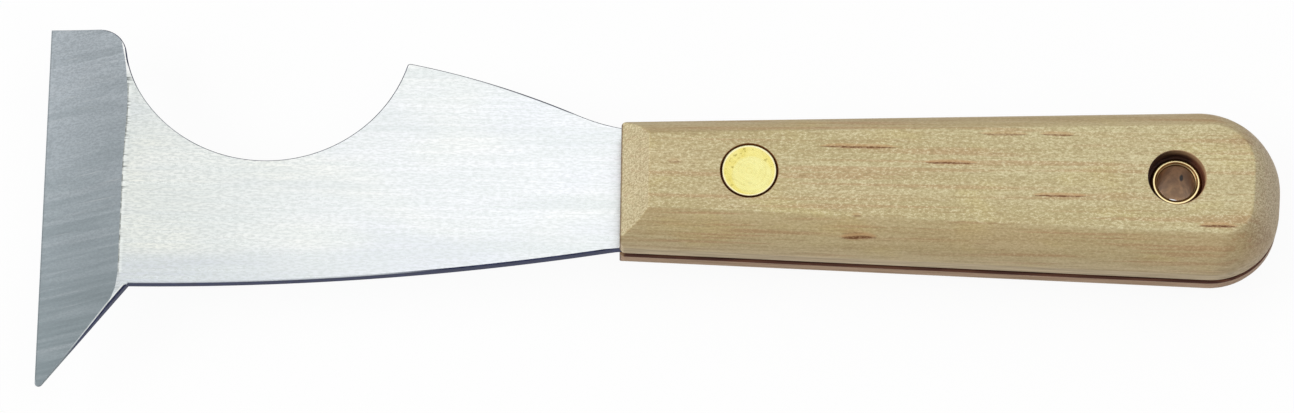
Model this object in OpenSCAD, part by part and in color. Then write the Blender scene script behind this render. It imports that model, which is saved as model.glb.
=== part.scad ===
// Painter's multi-tool: a flat steel blade with a full tang, held between two chamfered hardwood
// scales by a two-piece brass rivet and by the brass eyelet that lines the hang hole.
// Lengths are in millimetres. The origin is the centre of the hang hole, midway through the blade.
// +X runs along the handle to the butt, +Y to the side with the roller notch, +Z to the ground face.

/* [Handle] */
// Length of the handle
handle_len = 113.6; // [100:0.2:130]
// Width across the front of the handle, at the blade
front_w = 23.1; // [21:0.1:27]
// Width that the two tapering sides would reach at the butt
butt_w = 30.6; // [28:0.1:36]
// Radius of the two rounded corners of the butt
corner_r = 13; // [8:0.5:13]
// Radius of the bowed end of the butt
bow_r = 20; // [18:1:60]
// Thickness of one scale
scale_t = 9.5; // [8:0.1:12]
// Height of a scale's upright side, beside the tang
side_h = 2.3; // [1.5:0.1:4]
// Width of the chamfer round a scale, seen from above
chamfer_w = 4.9; // [3:0.1:6]
// How far the edge between chamfer and flat is eased, each way
ease_w = 0.4; // [0.1:0.1:1]

/* [Tang] */
// How far the tang stands back from the sides at the front of the handle
tang_inset = 0.65; // [0.3:0.05:2]
// From the front of the handle to the rivet
rivet_from_front = 22; // [16:0.5:40]
// From the butt to the hang hole
hole_from_butt = 18.3; // [14:0.1:24]

/* [Blade] */
// Thickness of the blade and its tang
blade_t = 2; // [1.6:0.1:2.6]
// From the front of the handle to the cutting edge
blade_reach = 99.5; // [92:0.5:108]
// Height of the horn's top above the handle's axis
horn_rise = 28.75; // [26:0.25:32]
// Width of the horn at its narrowest, in front of the notch
horn_w = 12.4; // [9:0.1:16]
// Radius of the horn's rear corner
horn_r = 3.9; // [1:0.1:5]
// Radius of the roller notch
notch_r = 25.4; // [20:0.2:27]
// Height of the notch's centre above the horn's top
notch_lift = 0.95; // [0:0.05:4]
// Radius of the lip behind the notch
lip_r = 0.6; // [0.3:0.1:1.5]

/* [Shoulder and belly] */
// From the front of the handle to the start of the shoulder's curve
shoulder_run = 37.3; // [30:0.1:44]
// Height of the shoulder's curve at its start, above the handle's axis
shoulder_rise = 22.9; // [20:0.1:26]
// Radius of the shoulder's curve
shoulder_r = 140; // [90:1:300]
// How far the shoulder's curve would dip below the tang's edge at the handle
neck_dip = 0.7; // [0.2:0.1:1.5]
// Radius of the fillet that leads the shoulder into the tang
neck_r = 23; // [10:1:40]
// Radius of the long curve of the belly
belly_r = 494; // [300:2:900]

/* [Spur] */
// Depth of the spur's sharp point below the handle's axis
spur_drop = 38.3; // [34:0.1:44]
// From the cutting edge back to the root of the spur
root_back = 15.1; // [12:0.1:20]
// Depth of the spur's root below the handle's axis
root_drop = 18.6; // [16:0.1:22]
// Radius of the spur's point
point_r = 0.5; // [0.2:0.1:1.5]

/* [Cutting edge] */
// Width of the hollow-ground bevel
bevel_w = 13.5; // [8:0.1:18]
// Thickness that the grinding leaves at the cutting edge
edge_t = 0.35; // [0.2:0.05:0.8]
// Radius of the grinding wheel that hollowed the bevel
wheel_r = 150; // [80:5:400]

/* [Rivet] */
// Diameter of the rivet's heads
head_d = 9.5; // [8:0.1:12]
// Thickness of a head at its middle
head_t = 1.8; // [1.2:0.1:3]
// Radius of a head's slight crown
crown_r = 60; // [20:1:200]
// How far a head lies below the face of its scale
head_sink = 0.1; // [0.05:0.05:0.5]
// Diameter of the male half's pin
pin_d = 3; // [2.5:0.1:4]
// Wall of the female half's tube
tube_wall = 0.95; // [0.6:0.05:1.5]

/* [Eyelet] */
// Inner diameter of the eyelet
eyelet_id = 6.35; // [5:0.05:8]
// Wall of the eyelet
eyelet_wall = 0.4; // [0.3:0.05:0.8]
// Height of the rolled rim, half of its width
rim_r = 0.66; // [0.5:0.02:1]
// Depth of the counterbore that the rim lies in
eyelet_sink = 3; // [1.5:0.1:4]

/* [Clearances] */
// Between a head and its counterbore, all round
head_gap = 0.15; // [0.05:0.05:0.5]
// Between the rim and its counterbore, all round
rim_gap = 0.4; // [0.1:0.05:1]
// Between a shank or the eyelet and its drilled hole, all round
drill_gap = 0.1; // [0.05:0.05:0.3]
// Between the pin and the tube, all round
pin_gap = 0.05; // [0.02:0.01:0.1]
// Between the end of the pin or the tube and the head that it points at
end_gap = 0.5; // [0.2:0.1:1]

/* [Hidden] */

// Smoothness of turned and drilled shapes, and of the outlines that a scale is lofted through
$fn = 96;
outline_fn = 48;
// Thickness of one outline in the loft, and how far cutters run past what they cut
layer_t = 0.01;
past = 1;
// How far a blending arc runs past the edges that it joins, so that they truly cross
seam = 0.005;

// Levels above the blade's middle
inner_z = blade_t / 2;
face_z = inner_z + scale_t;
head_seat_z = face_z - head_sink - head_t;
rim_seat_z = face_z - eyelet_sink;

// Places along the handle's axis
front_x = hole_from_butt - handle_len;
rivet_x = front_x + rivet_from_front;

// Diameters of what passes through the scales and of the holes for it
tube_id = pin_d + 2 * pin_gap;
tube_od = tube_id + 2 * tube_wall;
eyelet_od = eyelet_id + 2 * eyelet_wall;
rim_od = eyelet_id + 4 * rim_r;
rivet_hole_d = tube_od + 2 * drill_gap;
eyelet_hole_d = eyelet_od + 2 * drill_gap;
head_bore_d = head_d + 2 * head_gap;
rim_bore_d = rim_od + 2 * rim_gap;

// The butt's arc centres, measured from the front of the handle: each corner's arc is tangent
// to a tapering side and to the bow
bow_c = [handle_len - bow_r, 0];
side_dir = unit([handle_len, (butt_w - front_w) / 2]);
corner_line = [0, front_w / 2] + corner_r * [side_dir.y, -side_dir.x];
from_bow = corner_line - bow_c;
corner_c = corner_line + (leg(bow_r - corner_r, cross(from_bow, side_dir)) - from_bow * side_dir) * side_dir;

// The blade's corners and arc centres, measured from the front of the handle
tang_half = front_w / 2 - tang_inset;
edge_x = -blade_reach;
root = [edge_x + root_back, -root_drop];
spur_tip = [edge_x, -spur_drop];
notch_c = [edge_x + horn_w + notch_r, horn_rise + notch_lift];
shoulder_c = arc_centre([0, tang_half - neck_dip], [-shoulder_run, shoulder_rise], shoulder_r);
belly_c = arc_centre(root, [0, -tang_half], belly_r);
wheel_c = arc_centre([edge_x, edge_t - inner_z], [edge_x + bevel_w, inner_z], wheel_r);

// Centres of the small arcs, each tangent to the two edges that it joins
horn_c = [notch_c.x - leg(notch_r + horn_r, notch_lift + horn_r), horn_rise - horn_r];
lip_c = circles_meet(shoulder_c, shoulder_r - lip_r, notch_c, notch_r + lip_r);
neck_y = tang_half + neck_r;
neck_c = [shoulder_c.x + leg(shoulder_r + neck_r, neck_y - shoulder_c.y), neck_y];
spur_run = root - spur_tip;
point_c = spur_tip + point_r * [1, 1 / tan(atan2(spur_run.x, spur_run.y) / 2)];

steel = [0.86, 0.87, 0.89];
maple = [0.77, 0.70, 0.54];
brass = [0.91, 0.83, 0.42];

function unit(v) = v / norm(v);

// Third side of a right-angled triangle with the longest side c and the side a
function leg(c, a) = sqrt(c * c - a * a);

// Centre of the arc of radius r from p to q that turns left
function arc_centre(p, q, r) =
    (p + q) / 2 + leg(r, norm(q - p) / 2) * unit([p.y - q.y, q.x - p.x]);

// Where two circles meet, to the right of the way from the first centre to the second
function circles_meet(a, ra, b, rb) =
    let (d = norm(b - a), u = (b - a) / d, along = (d * d + ra * ra - rb * rb) / (2 * d))
    a + along * u + leg(ra, along) * [u.y, -u.x];

// What rounding takes off a corner: the kite from the corner to the arc, less the arc's own disc
module corner_waste(corner, centre, r, touch_a, touch_b) {
    difference() {
        polygon([2 * corner - centre, touch_a, centre, touch_b]);
        disc(centre, r + seam);
    }
}

// Full circle, with facets in step with its size
module disc(centre, r) {
    translate(centre)
        circle(r, $fn = max($fn, 4 * ceil(r)));
}

// Rectangle between two opposite corners
module block(low, high) {
    translate(low)
        square(high - low);
}

// The plate above the belly's curve, as far as the tang's neck and still as high as the horn
module plate() {
    intersection() {
        block([edge_x, -root_drop - past], [neck_c.x, horn_rise]);
        disc(belly_c, belly_r);
    }
}

// The spur that hangs below the belly at the cutting edge, its diagonal run on up to the axis
module spur() {
    axis_x = edge_x + spur_drop * spur_run.x / spur_run.y;
    polygon([[edge_x, 0], spur_tip, [axis_x, 0]]);
}

// Parallel tang with a round end about the hang hole
module tang() {
    block([-tang_half, -tang_half], [-front_x, tang_half]);
    disc([-front_x, 0], tang_half);
}

// What lies above the shoulder's curve and the fillet that leads it into the tang
module shoulder_waste() {
    neck_start = neck_c + neck_r * unit(shoulder_c - neck_c);
    difference() {
        block([notch_c.x, 0], [neck_start.x, horn_rise + past]);
        disc(shoulder_c, shoulder_r);
    }
    disc(neck_c, neck_r + seam);
}

module blade_outline() {
    horn_tip = [notch_c.x - leg(notch_r, notch_lift), horn_rise];
    lip_tip = circles_meet(shoulder_c, shoulder_r, notch_c, notch_r);
    difference() {
        union() {
            plate();
            spur();
            tang();
        }
        shoulder_waste();
        disc(notch_c, notch_r);
        corner_waste(horn_tip, horn_c, horn_r,
            horn_c + horn_r * unit(notch_c - horn_c), [horn_c.x, horn_rise]);
        corner_waste(lip_tip, lip_c, lip_r,
            lip_c + lip_r * unit(notch_c - lip_c), lip_c + lip_r * unit(lip_c - shoulder_c));
        corner_waste(spur_tip, point_c, point_r,
            [edge_x, point_c.y], point_c + point_r * unit([spur_run.y, -spur_run.x]));
        disc([rivet_from_front, 0], rivet_hole_d / 2);
        disc([-front_x, 0], eyelet_hole_d / 2);
    }
}

// The grinding wheel's sweep across the whole cutting edge
module wheel() {
    sweep = 2 * (horn_rise + spur_drop);
    translate([wheel_c.x, 0, wheel_c.y])
        rotate([90, 0, 0])
            cylinder(r = wheel_r, h = sweep, center = true, $fn = 4 * $fn);
}

module blade() {
    color(steel)
        translate([front_x, 0, 0])
            difference() {
                linear_extrude(blade_t, center = true)
                    blade_outline();
                wheel();
            }
}

// Plan of a scale: square at the front, tapering sides, rounded corners and a bowed end at the butt
module handle_outline() {
    touch = bow_c + bow_r * unit(corner_c - bow_c);
    $fn = outline_fn;
    hull() {
        block([0, -front_w / 2], [layer_t, front_w / 2]);
        for (side = [-1, 1])
            disc([corner_c.x, side * corner_c.y], corner_r);
        intersection() {
            disc(bow_c, bow_r);
            block([bow_c.x, -touch.y], [handle_len, touch.y]);
        }
    }
}

// One outline of the loft, with its top at the given height above the inner face
module scale_layer(top, inset) {
    translate([front_x, 0, inner_z + top - layer_t])
        linear_extrude(layer_t)
            offset(delta = -inset)
                handle_outline();
}

// Upper scale: an upright side, a chamfer all round and an eased edge to the flat
module scale_loft() {
    chamfer_slope = (scale_t - side_h) / chamfer_w;
    hull() {
        scale_layer(layer_t, 0);
        scale_layer(side_h, 0);
        scale_layer(scale_t - chamfer_slope * ease_w, chamfer_w - ease_w);
        scale_layer(scale_t, chamfer_w + ease_w);
    }
}

// Through hole with a flat-bottomed counterbore from the face down to the seat
module stepped_hole(x, hole_d, bore_d, seat_z) {
    translate([x, 0, inner_z - past])
        cylinder(d = hole_d, h = scale_t + 2 * past);
    translate([x, 0, seat_z])
        cylinder(d = bore_d, h = face_z - seat_z + past);
}

module drilled_scale() {
    difference() {
        scale_loft();
        stepped_hole(rivet_x, rivet_hole_d, head_bore_d, head_seat_z);
        stepped_hole(0, eyelet_hole_d, rim_bore_d, rim_seat_z);
    }
}

module upper_scale() {
    color(maple)
        drilled_scale();
}

module lower_scale() {
    color(maple)
        mirror([0, 0, 1])
            drilled_scale();
}

// Half profile of a slightly crowned head, seated at height zero
module head_profile() {
    intersection() {
        square([head_d / 2, head_t]);
        translate([0, head_t - crown_r])
            circle(crown_r, $fn = 4 * $fn);
    }
}

// Female half, from above: its tube reaches down to just short of the other head
module rivet_cap() {
    tube_len = 2 * head_seat_z - end_gap;
    color(brass)
        translate([rivet_x, 0, head_seat_z])
            rotate_extrude() {
                head_profile();
                translate([tube_id / 2, -tube_len])
                    square([tube_wall, tube_len]);
            }
}

// Male half, from below: its pin fills the tube to just short of the cap
module rivet_stud() {
    pin_len = 2 * head_seat_z - end_gap;
    color(brass)
        translate([rivet_x, 0, -head_seat_z])
            mirror([0, 0, 1])
                rotate_extrude() {
                    head_profile();
                    translate([0, -pin_len])
                        square([pin_d / 2, pin_len]);
                }
}

// Half profile of a rolled rim: a half-round bead that flares out of the bore onto its seat
module rim_profile() {
    translate([0, rim_seat_z])
        intersection() {
            translate([eyelet_id / 2 + rim_r, 0])
                circle(rim_r);
            square([rim_od, rim_r]);
        }
}

module hang_eyelet() {
    color(brass)
        rotate_extrude() {
            translate([eyelet_id / 2, -rim_seat_z])
                square([eyelet_wall, 2 * rim_seat_z]);
            rim_profile();
            mirror([0, 1])
                rim_profile();
        }
}

blade();
upper_scale();
lower_scale();
rivet_cap();
rivet_stud();
hang_eyelet();
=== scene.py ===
import math

import bmesh
import bpy
from mathutils import Matrix, Vector


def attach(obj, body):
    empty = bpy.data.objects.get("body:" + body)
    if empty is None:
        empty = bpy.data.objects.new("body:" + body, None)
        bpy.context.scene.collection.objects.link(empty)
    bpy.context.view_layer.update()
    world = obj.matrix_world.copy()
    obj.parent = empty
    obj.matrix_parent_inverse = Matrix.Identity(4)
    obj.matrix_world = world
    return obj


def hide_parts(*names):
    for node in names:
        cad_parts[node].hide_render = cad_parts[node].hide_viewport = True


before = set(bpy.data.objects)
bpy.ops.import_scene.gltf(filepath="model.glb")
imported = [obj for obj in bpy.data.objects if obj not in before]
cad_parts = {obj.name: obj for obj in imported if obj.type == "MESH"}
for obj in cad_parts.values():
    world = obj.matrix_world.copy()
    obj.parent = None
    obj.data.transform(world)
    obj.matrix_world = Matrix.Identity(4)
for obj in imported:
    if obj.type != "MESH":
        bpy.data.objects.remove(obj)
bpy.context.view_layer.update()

# A painter's multi-tool: a brushed steel blade with a hollow-ground edge, between two maple scales
# that a brass rivet and the brass eyelet of the hang hole hold together.
# Lengths are in millimetres, as in the part's source, and become metres where a vertex is placed.
# The origin is the centre of the hang hole, midway through the blade.
MM = 0.001
PLAN_AXIS = Vector((0, 0, 1))
PROFILE_AXIS = Vector((0, -1, 0))

# Handle
FRONT_X = -95.3
BUTT_X = 18.3
NOTCH_HALF = 11.4
BELLY_HALF = 11.55
SIDE_SLOPE = 3.75 / 113.6
BOW_R = 90
BOW_Y = 3.5
NOTCH_SIDE_R = 14.1
BELLY_SIDE_R = 12.0
CORNER_TIGHTENING = 1.37
SCALE_T = 9.5
SIDE_H = 2.3
CHAMFER_W = 4.9
CHAMFER_TOP_SLOPE = math.radians(36)
CHAMFER_STEPS = 8
FRONT_DROP = 4.65
NOTCH_NIP = 1.4
BELLY_NIP = 0.6
RUN_ON = 12
EASE = 0.35
SLOT_EASE = 0.12
LOWER_SLOT_EASE = 0.4
UPPER_OVERHANG = 0.3
EASE_STEPS = 3

# Blade
BLADE_HALF = 1.0
EDGE_X = -194.8
HORN_Y = 28.75
HORN_FALL = 0.15
HORN_R = 5.2
HORN_SIDE_R = 20.3
HORN_SIDE_Y = 16.5
NOTCH_C = Vector((-157.0, 29.7))
NOTCH_R = 25.4
LIP_R = 0.6
SHOULDER_R = 140
SHOULDER_START = Vector((-132.6, 22.9))
TANG_HALF = 10.9
NECK_DIP = 0.84
NECK_R = 32
BELLY_R = 494
ROOT = Vector((-179.5, -18.72))
SPUR_TIP = Vector((-194.8, -38.64))
POINT_R = 0.67
EDGE_T = 0.35
WHEEL_R = 150
BEVEL_W = 13.5
BEVEL_STEPS = 8
EDGE_SOFT = 0.2
EDGE_ROLL = 0.16
TANG_SHOWN = 1.5
TANG_COVERED = 2
GRIND_MARGIN = 0.5

# Rivet and eyelet
RIVET_X = -73.3
FACE_Z = BLADE_HALF + SCALE_T
HEAD_R = 4.75
HEAD_TOP = FACE_Z - 0.02
HEAD_SEAT = 8.6
CROWN_R = 150
HEAD_EASE = 0.16
TUBE_R = 2.5
TUBE_BORE = 1.55
PIN_R = 1.5
SHANK_END = HEAD_SEAT - 0.5
RIVET_HOLE_R = 2.6
HEAD_BORE_R = 4.9
EYELET_R = 3.175
EYELET_WALL = 0.4
RIM_R = 0.66
RIM_SEAT = 7.5
RIM_BORE_R = 4.895
EYELET_HOLE_R = 3.675
MOUTH_EASE = 0.15

# Steps round an arc
TURN_STEPS = 96
BORE_STEPS = 72
BUTT_STEPS = 28
RIM_STEPS = 12

# Angles between two faces at an edge: shaded sharp, eased in the wood, sheared in the steel
SHARP_ANGLE = math.radians(35)
EASE_ANGLE = math.radians(16)
SHEAR_ANGLE = 1.0

# How far a face's normal points up
UPWARD = 0.2
STEEP = 0.5
FLAT = 0.99

# Lengths that count as none
LEVEL_WITHIN = 0.1
SLACK = 0.01
MERGE = 0.008
WELD = 0.0001
ON_PLANE = 0.00001


def at(x, y, z=0.0):
    """A place given in millimetres, in metres."""
    return Vector((x, y, z)) * MM


def leg(longest, side):
    """The third side of a right-angled triangle."""
    return math.sqrt(longest * longest - side * side)


def arc_centre(p, q, r):
    """Centre of the arc of radius r from p to q that turns left."""
    across = Vector((p.y - q.y, q.x - p.x)).normalized()
    return (p + q) / 2 + leg(r, (q - p).length / 2) * across


def circles_meet(a, ra, b, rb):
    """Where two circles meet, to the right of the way from the first centre to the second."""
    d = (b - a).length
    u = (b - a) / d
    along = (d * d + ra * ra - rb * rb) / (2 * d)
    return a + along * u + leg(ra, along) * Vector((u.y, -u.x))


def only(geom, kind):
    return [g for g in geom if isinstance(g, kind)]


def everything(bm):
    return bm.verts[:] + bm.edges[:] + bm.faces[:]


def once(elements):
    """Each element once, in the order given, so that every run makes the same mesh."""
    return list(dict.fromkeys(elements))


class Pen:
    """Draws a chain of edges: lines by extruding its last vertex, arcs by spinning it."""

    def __init__(self, bm, start, axis=PLAN_AXIS, level=0.0):
        self.bm = bm
        self.axis = axis
        self.level = level
        self.point = Vector(start)
        self.others = set(bm.verts)
        self.tip = bm.verts.new(self.spot(self.point))

    def spot(self, point):
        if self.axis is PROFILE_AXIS:
            return at(point[0], 0, point[1])
        return at(point[0], point[1], self.level)

    def line(self, *ends):
        for end in ends:
            self.tip = bmesh.ops.extrude_vert_indiv(self.bm, verts=[self.tip])["verts"][0]
            self.point = Vector(end)
            self.tip.co = self.spot(self.point)

    def arc(self, centre, end, steps):
        centre = Vector(centre)
        end = Vector(end)
        angle = (self.point - centre).angle_signed(end - centre)
        made = bmesh.ops.spin(
            self.bm, geom=[self.tip], cent=self.spot(centre), axis=self.axis, angle=-angle, steps=steps
        )
        self.tip = only(made["geom_last"], bmesh.types.BMVert)[0]
        self.point = end

    def loop(self):
        """Closes the chain where it has come back to its start, and gives its edges."""
        drawn = [v for v in self.bm.verts if v not in self.others]
        bmesh.ops.remove_doubles(self.bm, verts=drawn, dist=WELD * MM)
        return once(e for v in drawn if v.is_valid for e in v.link_edges)

    def face(self):
        return bmesh.ops.contextual_create(self.bm, geom=self.loop())["faces"][0]


def cut(bm, faces, point, normal, clear=False):
    """Cuts faces with a plane; with clear, takes off what lies beyond it and closes the cut."""
    edges = once(e for f in faces for e in f.edges)
    verts = once(v for f in faces for v in f.verts)
    made = bmesh.ops.bisect_plane(
        bm, geom=[*verts, *edges, *faces], dist=ON_PLANE * MM, plane_co=point, plane_no=normal,
        clear_outer=clear,
    )
    if clear:
        bmesh.ops.contextual_create(bm, geom=only(made["geom_cut"], bmesh.types.BMEdge))


def finish_piece(bm, name, cad_node, materials):
    """Closes and shades a mesh, and makes it the piece that stands for a CAD node."""
    bmesh.ops.remove_doubles(bm, verts=bm.verts, dist=MERGE * MM)
    bmesh.ops.recalc_face_normals(bm, faces=bm.faces)
    for f in bm.faces:
        f.smooth = True
    for e in bm.edges:
        if e.smooth:
            e.smooth = e.is_manifold and e.calc_face_angle() < SHARP_ANGLE
    mesh = bpy.data.meshes.new(name)
    bm.to_mesh(mesh)
    bm.free()
    for m in materials:
        mesh.materials.append(m)
    piece = bpy.data.objects.new(name, mesh)
    bpy.context.scene.collection.objects.link(piece)
    weighted = piece.modifiers.new("weighted_normals", "WEIGHTED_NORMAL")
    weighted.keep_sharp = True
    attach(piece, "root")
    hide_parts(cad_node)


# Node helpers


def node(tree, kind, attrs=None, **inputs):
    """A shader node, with its settings and with values or links for its inputs."""
    made = tree.nodes.new("ShaderNode" + kind)
    for name, value in (attrs or {}).items():
        setattr(made, name, value)
    for name, value in inputs.items():
        feed(tree, made.inputs[name.replace("_", " ")], value)
    return made


def feed(tree, socket, value):
    """Links another node's output to a socket, or sets a plain value on it."""
    if isinstance(value, bpy.types.NodeSocket):
        tree.links.new(value, socket)
    else:
        socket.default_value = value


def maths(tree, operation, *values):
    made = node(tree, "Math", {"operation": operation})
    for socket, value in zip(made.inputs, values):
        feed(tree, socket, value)
    return made.outputs[0]


def blend(tree, share, a, b):
    made = node(tree, "Mix", {"data_type": "RGBA"})
    feed(tree, made.inputs[0], share)
    feed(tree, made.inputs[6], a)
    feed(tree, made.inputs[7], b)
    return made.outputs[2]


def srgb(r, g, b):
    """Linear colour of an sRGB triple from 0 to 255."""
    def linear(c):
        c /= 255
        return c / 12.92 if c <= 0.04045 else ((c + 0.055) / 1.055) ** 2.4
    return (linear(r), linear(g), linear(b), 1.0)


class Finish:
    """A material in the making: its nodes, and the colour that is laid on so far."""

    def __init__(self, name):
        self.material = bpy.data.materials.new(name)
        self.material.use_nodes = True
        self.tree = self.material.node_tree
        places = node(self.tree, "TexCoord").outputs
        self.coords = places["Object"]
        self.normal = places["Normal"]
        self.colour = None

    def maths(self, operation, *values):
        return maths(self.tree, operation, *values)

    def vector(self, operation, *values):
        made = node(self.tree, "VectorMath", {"operation": operation})
        for socket, value in zip(made.inputs, values):
            feed(self.tree, socket, value)
        return made.outputs["Value" if operation in ("LENGTH", "DOT_PRODUCT") else "Vector"]

    def split(self, vector):
        return node(self.tree, "SeparateXYZ", Vector=vector).outputs

    def all_of(self, mask, *others):
        """Where all of the masks hold: their product."""
        for other in others:
            mask = self.maths("MULTIPLY", mask, other)
        return mask

    def any_of(self, mask, *others):
        """Where any of the masks holds: the largest of them."""
        for other in others:
            mask = self.maths("MAXIMUM", mask, other)
        return mask

    def ramp(self, value, low, high, to_low=0.0, to_high=1.0):
        made = node(
            self.tree, "MapRange", {"interpolation_type": "SMOOTHSTEP"},
            Value=value, From_Min=low, From_Max=high, To_Min=to_low, To_Max=to_high,
        )
        return made.outputs[0]

    def span(self, length, low, high, to_low=0.0, to_high=1.0):
        """A ramp over a length, with its ends in millimetres."""
        return self.ramp(length, low * MM, high * MM, to_low, to_high)

    def noise(self, scale, detail=3, rough=0.55, turn=0.0, shift=(0, 0, 0), path=None):
        """Noise with a scale of its own along each axis, over the piece or along another path."""
        spot = self.coords if path is None else path
        spot = node(self.tree, "Mapping", Vector=spot, Location=shift, Rotation=(0, 0, turn)).outputs[0]
        spot = self.vector("MULTIPLY", spot, scale)
        made = node(self.tree, "TexNoise", Vector=spot, Scale=1.0, Detail=detail, Roughness=rough)
        return made.outputs[0]

    def off_axis(self, x, y):
        """How far a place lies from an upright axis."""
        off = self.vector("SUBTRACT", self.coords, at(x, y))
        return self.vector("LENGTH", self.vector("MULTIPLY", off, (1, 1, 0)))

    def fleck_reach(self, path, x, y, length, width):
        """How far out of a fleck's long, pointed outline a place lies: 0 in its middle, 1 near its edge."""
        off = self.vector("SUBTRACT", path, at(x, y))
        reach = self.vector("MULTIPLY", off, (2 / (length * MM), 2 / (width * MM), 0))
        reach = self.split(self.vector("ABSOLUTE", reach))
        return self.maths("ADD", self.maths("POWER", reach[0], 3.0), reach[1])

    def mix(self, share, a, b):
        return blend(self.tree, share, a, b)

    def lay(self, mask, tone):
        """Lays a tone over the colour where the mask holds."""
        self.colour = self.mix(mask, self.colour, tone)

    def done(self, relief, strength, depth, **sockets):
        """Gives the shader its colour, its bump of a depth in millimetres and its other sockets."""
        shader = self.tree.nodes["Principled BSDF"]
        raised = node(self.tree, "Bump", Height=relief, Strength=strength, Distance=depth * MM)
        feed(self.tree, shader.inputs["Base Color"], self.colour)
        feed(self.tree, shader.inputs["Normal"], raised.outputs[0])
        for name, value in sockets.items():
            feed(self.tree, shader.inputs[name.replace("_", " ")], value)
        return self.material


# Steel finishes

# Painted dark reflection, laid on the upper faces along the horn's lip and the spur's edge
EDGE_DARK_REFLECTION = srgb(52, 58, 66)
GLEAM = srgb(252, 253, 250)
GLEAM_SHARE = 0.6
STONE_TURN = math.radians(-12)

# Lanes of sheen on the plate: middle along X and Y, length, width, strength
SHEEN_LANES = [(-170.5, 3.2, 18, 7, 0.8), (-150.0, -10.0, 26, 6, 0.5)]

# Marks on the blade: where each begins, along an axis or from a line or centre, and where it is full
TOWARD_HANDLE_X = (-187.3, -125.3)
UPPER_FACE_Z = (0, 0.5)
SHADE_ABOVE_BELLY = (7.5, 3.5)
GRIND_STOP_FROM_Y = (-18, -16)
GRIND_STOP_TO_Y = (19, 17)
GRIND_BEND_Y = (3.5, 12.5)
GRIND_BEND_X = (-181.36, -181.0)
HIGHLIGHT_PAST = (0.9, 0.4)
DARK_LINE_PAST = (0.3, 0.1)
NICKED_X = (-179.9, -181.2)
NICKED_Y = (-12, 8)
UNDER_HORN_X = (-170, -174)
UNDER_HORN_Y = (19, 21.5)
HORN_LIP_Y = (21, 22.4)
HORN_LIP_R = (HORN_SIDE_R + 0.29, HORN_SIDE_R + 0.21)
SPUR_Y = (ROOT.y - 0.2, ROOT.y - 0.6)
DARK_BAND_Y = (-36, -19)
DARK_BAND_WIDTH = (-0.06, 0.34)
GLEAM_PAST = (0.28, 0.14)
DARK_BAND_PAST = (0.04, -0.04)
SPUR_HIGHLIGHT_PAST = (-0.04, 0.04)
SEAM_FROM_X = (-124, -110)
SEAM_TO_X = (-102.5, -105.5)
SEAM_R = (SHOULDER_R - 0.32, SHOULDER_R - 0.22)
WORN_EDGE_X = (EDGE_X + 0.3, EDGE_X + 0.1)
PALE_NOTCH_X = (-165, -168)
PALE_NOTCH_FROM_Y = (7, 10)
PALE_NOTCH_TO_Y = (20, 16)
HORN_TOP_X = (-184, -186.5)
HORN_TOP_Y = (24, 26)
BELLY_RIM_X = (-124, -140)
BELLY_RIM_FROM_Y = (-19.1, -18.9)
BELLY_RIM_TO_Y = (-10, -12)
BELLY_RIM_Z = (0.78, 0.88)


def plate_tones_and_painted_light(f, x, grain, streak):
    """The plate's tones, paler towards the handle as a painted reflection: cream, blue, sheen, painted
    shade above the belly, and streaks.
    """
    sheen = f.noise((14, 240, 14), shift=(0.02, 0.009, 0))
    patch = f.noise((38, 75, 38), detail=2, shift=(0.013, 0.021, 0))
    tint = f.noise((30, 60, 30), detail=1, shift=(0.051, 0.043, 0))
    toward_handle = f.span(x, *TOWARD_HANDLE_X)
    # Painted reflection: paler towards the handle
    f.colour = f.mix(toward_handle, srgb(237, 241, 236), srgb(246, 248, 251))
    creamy = f.all_of(f.ramp(patch, 0.44, 0.66), f.ramp(toward_handle, 0, 1, 0.6, 0.3))
    f.lay(creamy, srgb(253, 253, 242))
    f.lay(f.ramp(tint, 0.5, 0.72, 0.0, 0.5), srgb(236, 239, 249))
    # Painted highlight in lanes of sheen
    for *lane, strength in SHEEN_LANES:
        f.lay(f.ramp(f.fleck_reach(f.coords, *lane), 1.5, 0.2, 0.0, strength), srgb(253, 254, 249))
    # Painted shade: bluer and darker just above the belly
    above_belly = f.maths("SUBTRACT", BELLY_R * MM, f.off_axis(*BELLY_C))
    belly_shade = f.all_of(f.span(above_belly, *SHADE_ABOVE_BELLY), f.ramp(toward_handle, 0, 1, 0.8, 0.3))
    f.lay(belly_shade, srgb(215, 221, 229))
    f.lay(f.ramp(sheen, 0.5, 0.34, 0.0, 0.5), srgb(224, 230, 232))
    f.lay(f.ramp(streak, 0.4, 0.6, 0.5, 0.0), srgb(214, 220, 219))
    speckled = f.all_of(f.ramp(grain, 0.6, 0.38), f.ramp(toward_handle, 0, 1, 0.6, 0.4))
    f.lay(speckled, srgb(198, 204, 202))


def grind_stop_highlight_and_line(f, x, y, upper):
    """A painted highlight band beside the line where the grinding stops, and a dark ragged line along it.
    """
    bend = (place * MM for place in GRIND_BEND_X)
    past = f.maths("SUBTRACT", x, f.span(y, *GRIND_BEND_Y, *bend))
    middle = f.all_of(f.span(y, *GRIND_STOP_FROM_Y), f.span(y, *GRIND_STOP_TO_Y), upper)
    # Painted highlight beside the line where the grinding stops
    f.lay(f.all_of(middle, f.span(past, *HIGHLIGHT_PAST, 0.0, 0.5)), srgb(247, 251, 248))
    chatter = f.noise((0, 800, 0), detail=2, shift=(0, 0.03, 0))
    dark_line = f.all_of(middle, f.span(past, *DARK_LINE_PAST), f.ramp(chatter, 0.38, 0.58, 0.25, 0.85))
    f.lay(dark_line, srgb(112, 117, 112))


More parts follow.
